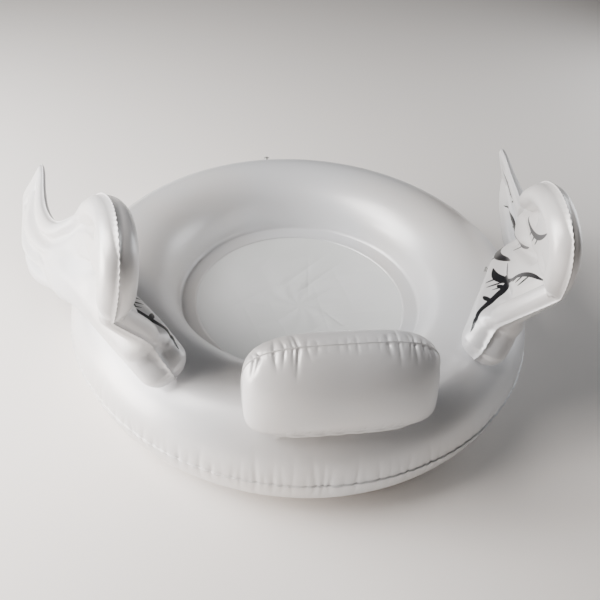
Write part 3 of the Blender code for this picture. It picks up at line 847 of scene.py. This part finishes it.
def makeBackrestSheet(name, facing, node):
    s = backrestSettings
    bpy.ops.mesh.primitive_uv_sphere_add(segments=s["segments"], ring_count=s["rings"], radius=1,
                                         rotation=(0, math.pi / 2, 0))
    sheet = bpy.context.active_object
    bpy.ops.object.transform_apply(location=False, rotation=True, scale=False)
    seam = math.radians(90 + s["seamTurn"])
    points = readPoints(sheet)
    poles = np.hypot(points[:, 1], points[:, 2]) < tiny
    turn = np.arctan2(points[:, 2], points[:, 1])
    deletePoints(sheet, ((seam - np.abs(turn)) * facing < -100 * tiny) & ~poles)
    points = readPoints(sheet)
    turn = np.arctan2(points[:, 2], points[:, 1])
    formed = backrestForm(np.clip(points[:, 0], -1, 1), turn)

    # the seam lies behind the crown and under the cushion, and closes at both ends
    across = np.linspace(-1, 1, s["rimSteps"] + 1)
    rims = {side: backrestForm(across, np.full_like(across, side * seam)) for side in (1, -1)}
    dice = random.Random(s["seed"])
    sunk = np.zeros(len(formed))
    for side, rim in rims.items():
        puckers = backrestPuckers(side, rim, dice)
        away = np.where(turn * side > 0, np.abs(np.abs(turn) - seam), 2 * math.pi) * (s["height"] / 2)
        deep = puckerDepth(formed[:, 0], away, puckers, sharpness=s["puckerSharpness"])
        sunk += deep * smoothStep(0.0, s["puckerStart"], away)
    writePoints(sheet, formed)
    normals = readPoints(sheet, "normal")
    middle = np.array([0, 0, s["lip"] + s["height"] / 2])
    if (normals * (formed - middle)).sum() < 0:
        normals = -normals
    shift = np.array([0, facing * ringSettings["halfStack"], 0])
    writePoints(sheet, formed - normals * sunk[:, None] + shift)

    inside = len(formed)
    # the front sheet's lip lies inside the cushion, and only the rear one's shows
    growLip(sheet, -facing * s["crownLip"], lambda places: np.tile([0.0, 1.0, 0.0], (len(places), 1)))
    points = readPoints(sheet)
    foot = float(rims[-1][:, 2].min())
    below = np.maximum(foot - points[:, 2], 0) / s["crownLip"]
    below[:inside] = 0
    points[:, 2] -= below * (s["footLip"] - s["crownLip"])
    wave = np.sin(2 * math.pi * points[:, 0] / s["footWaveLength"])
    points[:, 1] += s["footWave"] * wave * np.minimum(below, 1)
    writePoints(sheet, ringClear(leanBack(points), s["ringGap"]))
    editAll(sheet, *outwardNormals)
    sheet = finishPiece(sheet, name, pearlFilm, "backrest_body", (node,), ringSettings["sheet"])
    return sheet


stripSettings = {
    "halfLength": 0.170,
    "halfWidth": 0.010,
    "endWidth": 0.4,  # the tape's share of its width at both ends
    "narrowing": (0.4, 0.9),  # where along its half length it narrows to that
    "roundEnd": 0.1,  # the share of its half length that its rounded end takes
    "endTaper": 0.05,
    "finTuck": 0.001,  # how far the fin stays under the cushion's lip
    "finReach": (0.125, 0.162),  # where the fin begins to sink, and where it has gone
    "finHalf": 0.0012,
    "seat": 0.0012,
    "columns": 160,
    "rowShares": (1, 0.65, 0.3),
}


def makeBackrestStrip():
    # a tape welded flat on the ring, folded in its middle into a fin that holds the cushion
    s = stripSettings
    offsets = [s["halfWidth"] * share for share in s["rowShares"]] + [s["finHalf"], s["finHalf"]]
    offsets = np.array([-offset for offset in offsets] + offsets[::-1])
    raised = np.abs(np.arange(len(offsets)) - (len(offsets) - 1) / 2) < 1  # the two middle rows
    bpy.ops.mesh.primitive_grid_add(x_subdivisions=s["columns"], y_subdivisions=len(offsets) - 1, size=2)
    strip = bpy.context.active_object
    flat = readPoints(strip)
    row = np.rint((flat[:, 1] + 1) / 2 * (len(offsets) - 1)).astype(int)
    share = np.abs(flat[:, 0])
    rounded = np.clip((share - 1) / s["roundEnd"] + 1, 0, 1)
    taper = np.maximum(np.sqrt(1 - rounded ** 2), s["endTaper"])
    taper *= 1 - (1 - s["endWidth"]) * smoothStep(*s["narrowing"], share)
    x = s["halfLength"] * flat[:, 0]
    y = -backrestSettings["back"] + offsets[row] * taper
    across = (np.hypot(x, y) - tubeMiddle) / tubeHalf
    ground = (ringSettings["seamHeight"] + ringSettings["halfStack"] + s["seat"]
              + ringSettings["crestRise"] * np.sqrt(1 - across ** 2))
    top = backrestSettings["axisHeight"] + backrestSettings["lip"] - s["finTuck"]
    fin = raised[row] * (1 - smoothStep(*s["finReach"], np.abs(x)))
    writePoints(strip, np.stack([x, y, ground + (top - ground) * fin], axis=1))
    return finishPiece(strip, "backrestStrip", pearlFilm, "ring_body", ("backrest_weld_strip",),
                       ringSettings["sheet"])


print("backrest")
makeBackrestSheet("backrestRear", -1, "backrest_rear_sheet")
makeBackrestSheet("backrestFront", 1, "backrest_front_sheet")
makeBackrestStrip()


# Wings

wingSettings = {
    "rear": (0.43698, -0.45696, 0.34084),
    "front": (0.628, -0.18996, 0.33823),
    "lip": 0.004,
    "length": 1.07,
    "rise": 0.492,
    "spread": 0.481,
    "crest": 0.34465,
    "rootEnd": -0.037,
    "lower": [(0.348, -0.079), (0.436, -0.195), (0.530, -0.300), (0.620, -0.350), (0.717, -0.335),
              (0.800, -0.260), (0.856, -0.135), (0.876, 0.021), (0.866, 0.174)],
    "rearEdge": [(-0.050, 0.085), (-0.020, 0.190), (-0.050, 0.315), (-0.084, 0.468), (-0.114, 0.637),
                 (-0.122, 0.800), (-0.099, 0.926)],
    "notch": (-0.020, 0.190),  # the arm tube ends here, above the foot
    "upper": [(-0.040, 0.999), (0.044, 0.995), (0.147, 0.901), (0.240, 0.749), (0.315, 0.586),
              (0.390, 0.409), (0.464, 0.275), (0.549, 0.234), (0.670, 0.255), (0.773, 0.275), (0.838, 0.255)],
    "planLow": [(0.427, 0.709), (0.567, 0.859), (0.707, 0.946), (0.857, 1.0)],
    "planHigh": [(-0.152, 0.177), (0.053, 0.260), (0.287, 0.397), (0.521, 0.588), (0.857, 0.755)],
    "twistTop": 0.56,
    "curl": 0.18,
    "rearTuck": 0.012,  # draws the rear corner inwards
    "tuckReach": 0.20,
    "rootSteps": 4,
    "armTube": (0.026, 0.034),  # half its width along the sheet, half its thickness
    "leadTube": (0.033, 0.044),
    "wrist": (-0.105, 0.582),
    "wristBlend": (-0.02, 0.05),  # round the wrist, where the arm tube becomes the lead tube
    "folds": [((-0.105, 0.582), (0.010, 0.640), 0.010, 0.008),  # start, end, depth, width
              ((-0.020, 0.180), (0.050, 0.110), 0.006, 0.010)],
    "foldFade": 0.6,  # what a fold loses of its depth by its end
    "rollHalf": (0.068, 0.070),  # inner sheet, outer sheet
    "panelHalf": (0.022, 0.028),
    "tipHalf": 0.012,
    "leastHalf": 0.002,
    "blendPower": 4,  # joins panel, tube and roll; higher makes sharper valleys
    "gutterWidth": 0.012,
    "gutterDepth": 0.75,
    "endRound": 0.045,
    "edgeRound": 0.050,
    "tipRound": 0.025,
    "edgePower": 2.5,
    "rollReach": ((0.070, 0.155), (0.095, 0.215)),  # up from the root, inner sheet and outer sheet
    "rollEnd": (0.287, 0.521),
    "tubeEnd": (0.193, 0.427),
    "tip": (0.474, 0.782),
    "leadShare": 0.60,
    "weldWidth": 0.015,
    "weldDepth": 0.85,
    "creaseDepth": 0.012,
    "creaseWidth": 0.0035,
    "creaseReach": 0.060,
    "welds": [[(0.119, 0.722), (0.287, 0.539), (0.446, 0.163), (0.614, 0.113), (0.764, 0.153)],
              [(0.053, 0.539), (0.240, 0.336), (0.427, 0.052), (0.614, -0.030), (0.782, 0.011)],
              [(0.025, 0.316), (0.193, 0.174), (0.380, -0.010), (0.567, -0.142), (0.736, -0.131)]],
    "columns": 350,
    "rows": 132,
    "chainStride": 3,  # every so many points of an edge are measured against
    "puckerSpacing": 0.013,
    "puckerReach": (0.010, 0.030),
    "puckerDepth": (0.0004, 0.0018),
    "puckerWidth": (0.003, 0.005),
    "puckerStart": 0.006,
    "rearCalm": 0.3,  # puckers keep this share of their depth at the rear corner
    "rearCalmReach": (-0.0121, 0.0479),
    "rippleDepth": 0.0009,
    "rippleLength": 0.015,
    "swayIn": -10.0,
    "swayOut": 12.0,
    "swaySteps": 5,
    "ringGap": 0.002,
    "leanTop": {-1: 0.007, 1: 0.015},  # each wing as it stands in the photo, along X
    "leadBand": (0.05, 0.9, 0.15, 0.55),  # grows over two heights, ends over two lengths
    "outerSlack": {-1: 0.14, 1: 0.38},  # a slacker outer sheet on the leading tube
    "slackReach": (0.25, 0.6),
    "hornReach": {-1: (0.50, 0.84), 1: (0.30, 0.70)},
    "hornLean": {-1: 0.004, 1: -0.045},
    "hornDrop": {-1: 0.026, 1: 0.0},
    "frontSpread": {-1: -0.026, 1: 0.0},
    "frontBand": (0.35, 0.62, -0.1, 0.2),  # grows over two lengths, ends over two heights
    "seed": 31,
}


def wingPlaces(shares):
    s = wingSettings
    return [(s["rear"][1] + s["length"] * along, s["crest"] + s["rise"] * up) for along, up in shares]


def planPlaces(shares):
    s = wingSettings
    return [(s["rear"][1] + s["length"] * along, s["rear"][0] + s["spread"] * out) for along, out in shares]


def rootLine(depth):
    s = wingSettings
    share = (depth - s["rear"][1]) / (s["front"][1] - s["rear"][1])
    return (s["rear"][0] + (s["front"][0] - s["rear"][0]) * share,
            s["rear"][2] + (s["front"][2] - s["rear"][2]) * share + s["lip"])


def wingMiddle(depth, height):
    s = wingSettings
    ends = [s["rear"][1] + s["length"] * s["rootEnd"], s["front"][1]]
    low = hermite([(end, rootLine(end)[0]) for end in ends] + planPlaces(s["planLow"]), depth)
    high = hermite(planPlaces(s["planHigh"]), depth)
    root = rootLine(depth)[1]
    top = s["crest"] + s["rise"] * s["twistTop"]
    share = np.clip((height - root) / (top - root), 0, 1)
    nearRear = 1 - smoothStep(ends[0], ends[0] + s["tuckReach"], depth)
    tuck = s["rearTuck"] * nearRear * np.sin(math.pi * share) ** 2
    x = low + (high - low) * share - s["curl"] * np.maximum(0, height - top) - tuck
    return np.stack([x, depth, height], axis=1)


def wingNormals(depth, height):
    step = 0.0005
    along = wingMiddle(depth + step, height) - wingMiddle(depth - step, height)
    upward = wingMiddle(depth, height + step) - wingMiddle(depth, height - step)
    normal = np.cross(along, upward)
    return normal / np.linalg.norm(normal, axis=1)[:, None]


def swayClear(points):
    # keeps the wing out of the ring's tube over its whole sway
    s = wingSettings
    pivot = np.array(s["rear"])
    axis = Vector(np.array(s["front"]) - pivot).normalized()
    outwards = list(np.linspace(s["swayIn"], s["swayOut"], s["swaySteps"]))
    for degrees in outwards + outwards[::-1]:
        turn = np.array(Matrix.Rotation(math.radians(float(degrees)), 3, axis))
        points = (ringClear((points - pivot) @ turn.T + pivot, s["ringGap"]) - pivot) @ turn + pivot
    return points


def standAsSeen(points, side):
    # the soft wings don't stand alike: each leans a little its own way
    s = wingSettings
    points = points.copy()
    if side < 0:
        points[:, 0] *= -1
    along = (points[:, 1] - s["rear"][1]) / s["length"]
    up = (points[:, 2] - s["crest"]) / s["rise"]
    horn = smoothStep(*s["hornReach"][side], along)
    lead = smoothStep(*s["leadBand"][:2], up) * (1 - smoothStep(*s["leadBand"][2:], along))
    front = smoothStep(*s["frontBand"][:2], along) * (1 - smoothStep(*s["frontBand"][2:], up))
    points[:, 0] += s["leanTop"][side] * lead + s["hornLean"][side] * horn + s["frontSpread"][side] * front
    points[:, 2] -= s["hornDrop"][side] * horn
    return points


def crowdedSteps(count, crowd=0.35):
    even = np.arange(count + 1) / count
    return crowd * (1 - np.cos(math.pi * even)) / 2 + (1 - crowd) * even  # closer together at both ends


def wingOutline():
    # the four edges, and the points that are spread between them
    s = wingSettings
    rearEnd = s["rear"][1] + s["length"] * s["rootEnd"]
    lower = []
    for step in range(s["rootSteps"] + 1):
        depth = rearEnd + (s["front"][1] - rearEnd) * step / s["rootSteps"]
        lower.append((depth, rootLine(depth)[1]))
    rear = [lower[0]] + wingPlaces(s["rearEdge"])
    lower += wingPlaces(s["lower"])
    upper = [rear[-1]] + wingPlaces(s["upper"])
    u, v = crowdedSteps(s["columns"]), crowdedSteps(s["rows"])
    low = curveThrough(lower, u)
    high = curveThrough(upper, u, before=rear[-2])
    left = curveThrough(rear, v, after=upper[1])
    right = low[-1] + (high[-1] - low[-1]) * v[:, None]
    uu, vv = u[:, None, None], v[None, :, None]
    corners = ((1 - uu) * ((1 - vv) * low[0] + vv * high[0]) + uu * ((1 - vv) * low[-1] + vv * high[-1]))
    grid = (1 - vv) * low[:, None] + vv * high[:, None] + (1 - uu) * left[None] + uu * right[None] - corners
    return low, high, left, right, grid[..., 0].ravel(), grid[..., 1].ravel()


def asChain(line, step=1):
    return [tuple(place) for place in line[::step]]


def wingShape():
    # both sheets' half thickness: a panel, a tube along its leading edge and a roll at its root
    s = wingSettings
    stride = s["chainStride"]
    low, high, left, right, depth, height = wingOutline()
    chain = (asChain(low, stride) + asChain(right, 2 * stride) + asChain(high, -stride)
             + asChain(left, -2 * stride) + [tuple(low[0])])
    leading = asChain(left, stride) + asChain(high[1:int(s["columns"] * s["leadShare"])], stride)
    edge, along, total = nearestOnChain(depth, height, chain)
    tubeGap, tubeAlong, _ = nearestOnChain(depth, height, leading)
    lowGap = nearestOnChain(depth, height, asChain(low, stride))[0]
    spots = np.array(wingPlaces([s["notch"], s["wrist"]]))
    notchPlace, wristPlace = nearestOnChain(spots[:, 0], spots[:, 1], leading)[1]

    def fade(shares):
        return smoothStep(*(s["rear"][1] + s["length"] * share for share in shares), depth)

    outer = fade(s["tip"])
    rounding = 1 - np.clip(edge / (s["edgeRound"] + (s["tipRound"] - s["edgeRound"]) * outer), 0, 1)
    panelEdge = (1 - rounding ** s["edgePower"]) ** (1 / s["edgePower"])
    closing = np.sqrt(1 - (1 - np.clip((tubeAlong - notchPlace) / s["endRound"], 0, 1)) ** 2)
    above = smoothStep(*s["wristBlend"], tubeAlong - wristPlace)
    radius, thick = ((arm + (lead - arm) * above) * (1 - fade(s["tubeEnd"])) + tiny
                     for arm, lead in zip(s["armTube"], s["leadTube"]))
    tube = thick * np.sqrt(np.maximum(1 - (1 - np.minimum(tubeGap / radius, 2)) ** 2, 0)) * closing
    gutter = np.exp(-((tubeGap - 2 * radius) / s["gutterWidth"]) ** 2) * (1 - fade(s["tubeEnd"]))
    weld = np.zeros_like(depth)
    crease = np.zeros_like(depth)
    for line in s["welds"]:
        smooth = asChain(curveThrough(wingPlaces(line), np.linspace(0, 1, 40)))
        gap, place, _ = nearestOnChain(depth, height, smooth)
        weld = np.maximum(weld, np.exp(-(gap / s["weldWidth"]) ** 2))
        fading = np.clip(1 - place / s["creaseReach"], 0, 1)
        crease = np.maximum(crease, np.exp(-gap / s["creaseWidth"]) * fading)
    fold = np.zeros_like(depth)
    for start, end, deep, wide in s["folds"]:
        gap, place, length = nearestOnChain(depth, height, wingPlaces([start, end]))
        fold = np.maximum(fold, deep * np.exp(-gap / wide) * (1 - s["foldFade"] * place / length))
    halves = []
    for sheet in (0, 1):
        roll = (1 - smoothStep(*s["rollReach"][sheet], lowGap)) * (1 - fade(s["rollEnd"]))
        cut = gutter * above if sheet else gutter  # outside, the arm tube runs into the roll
        panel = (s["panelHalf"][sheet] + (s["tipHalf"] - s["panelHalf"][sheet]) * outer)
        panel = panel * (1 - s["weldDepth"] * weld) * (1 - s["gutterDepth"] * cut)
        forms = (panel * panelEdge, tube, s["rollHalf"][sheet] * roll * panelEdge)
        half = sum(form ** s["blendPower"] for form in forms) ** (1 / s["blendPower"])
        halves.append(np.maximum(half - fold - s["creaseDepth"] * crease, np.minimum(half, s["leastHalf"])))
    return depth, height, halves, edge, along, total, chain


def rippleLip(sheet, inside, chain):
    # the points past the first ones are the lip's
    s = wingSettings
    points = readPoints(sheet)
    lip = points[inside:]
    away, place, _ = nearestOnChain(lip[:, 1], lip[:, 2], chain)
    growing = s["rippleDepth"] * np.clip(away / s["lip"], 0, 1)
    ripple = growing * np.sin(2 * math.pi * place / s["rippleLength"])
    points[inside:] += wingNormals(lip[:, 1], lip[:, 2]) * ripple[:, None]
    writePoints(sheet, points)


def makeWingSheet(name, side, facing, shape, node, material):
    s = wingSettings
    depth, height, halves, edge, along, total, chain = shape
    half = halves[0 if facing < 0 else 1]
    if facing > 0:
        up = (height - s["crest"]) / s["rise"]
        half = half * (1 - s["outerSlack"][side] * smoothStep(*s["slackReach"], up))
    puckers = scatterPuckers(total, s["puckerSpacing"], s["puckerReach"], s["puckerDepth"], s["puckerWidth"],
                             s["seed"] + facing)
    away = np.hypot(edge, half)
    sunk = puckerDepth(along, away, puckers, total) * smoothStep(0, s["puckerStart"], away)
    calm = s["rearCalm"] + (1 - s["rearCalm"]) * smoothStep(*s["rearCalmReach"], depth - s["rear"][1])

    bpy.ops.mesh.primitive_grid_add(x_subdivisions=s["columns"], y_subdivisions=s["rows"], size=1)
    sheet = bpy.context.active_object
    flat = readPoints(sheet)
    column = np.rint((flat[:, 0] + 0.5) * s["columns"]).astype(int)
    row = np.rint((flat[:, 1] + 0.5) * s["rows"]).astype(int)
    order = column * (s["rows"] + 1) + row
    rim = (column == 0) | (column == s["columns"]) | (row == 0) | (row == s["rows"])
    swell = np.maximum(half - sunk * calm, 0)[order]
    swell[rim] = 0
    lift = facing * (ringSettings["halfStack"] + swell)
    writePoints(sheet, wingMiddle(depth, height)[order] + wingNormals(depth, height)[order] * lift[:, None])
    growLip(sheet, s["lip"], lambda places: wingNormals(places[:, 1], places[:, 2]))
    rippleLip(sheet, len(flat), chain)
    writePoints(sheet, standAsSeen(swayClear(readPoints(sheet)), side))
    editAll(sheet, *outwardNormals)
    if (readPoints(sheet, "normal")[:, 0] * facing * side).sum() < 0:
        editAll(sheet, (bpy.ops.mesh.flip_normals, {}))
    body = "right_wing_body" if side > 0 else "left_wing_body"
    return finishPiece(sheet, name, material, body, (node,), ringSettings["sheet"])


print("wings")
shape = wingShape()
wingSheets = (("Inner", -1, printedFilm, "printed_pvc"), ("Outer", 1, pearlFilm, "pearl_pvc"))
for label, side in (("left", -1), ("right", 1)):
    for word, facing, material, slot in wingSheets:
        makeWingSheet(label + "Wing" + word, side, facing, shape, f"{label}_wing_{word.lower()}_sheet",
                      material)


# Carried-over nodes

print("weld strips and valves")
for name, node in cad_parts.items():
    if name.endswith("_weld_strip"):
        giveMaterial(node, pearlFilm)
    elif "_valve_" in name:
        giveMaterial(node, valveMaterial)
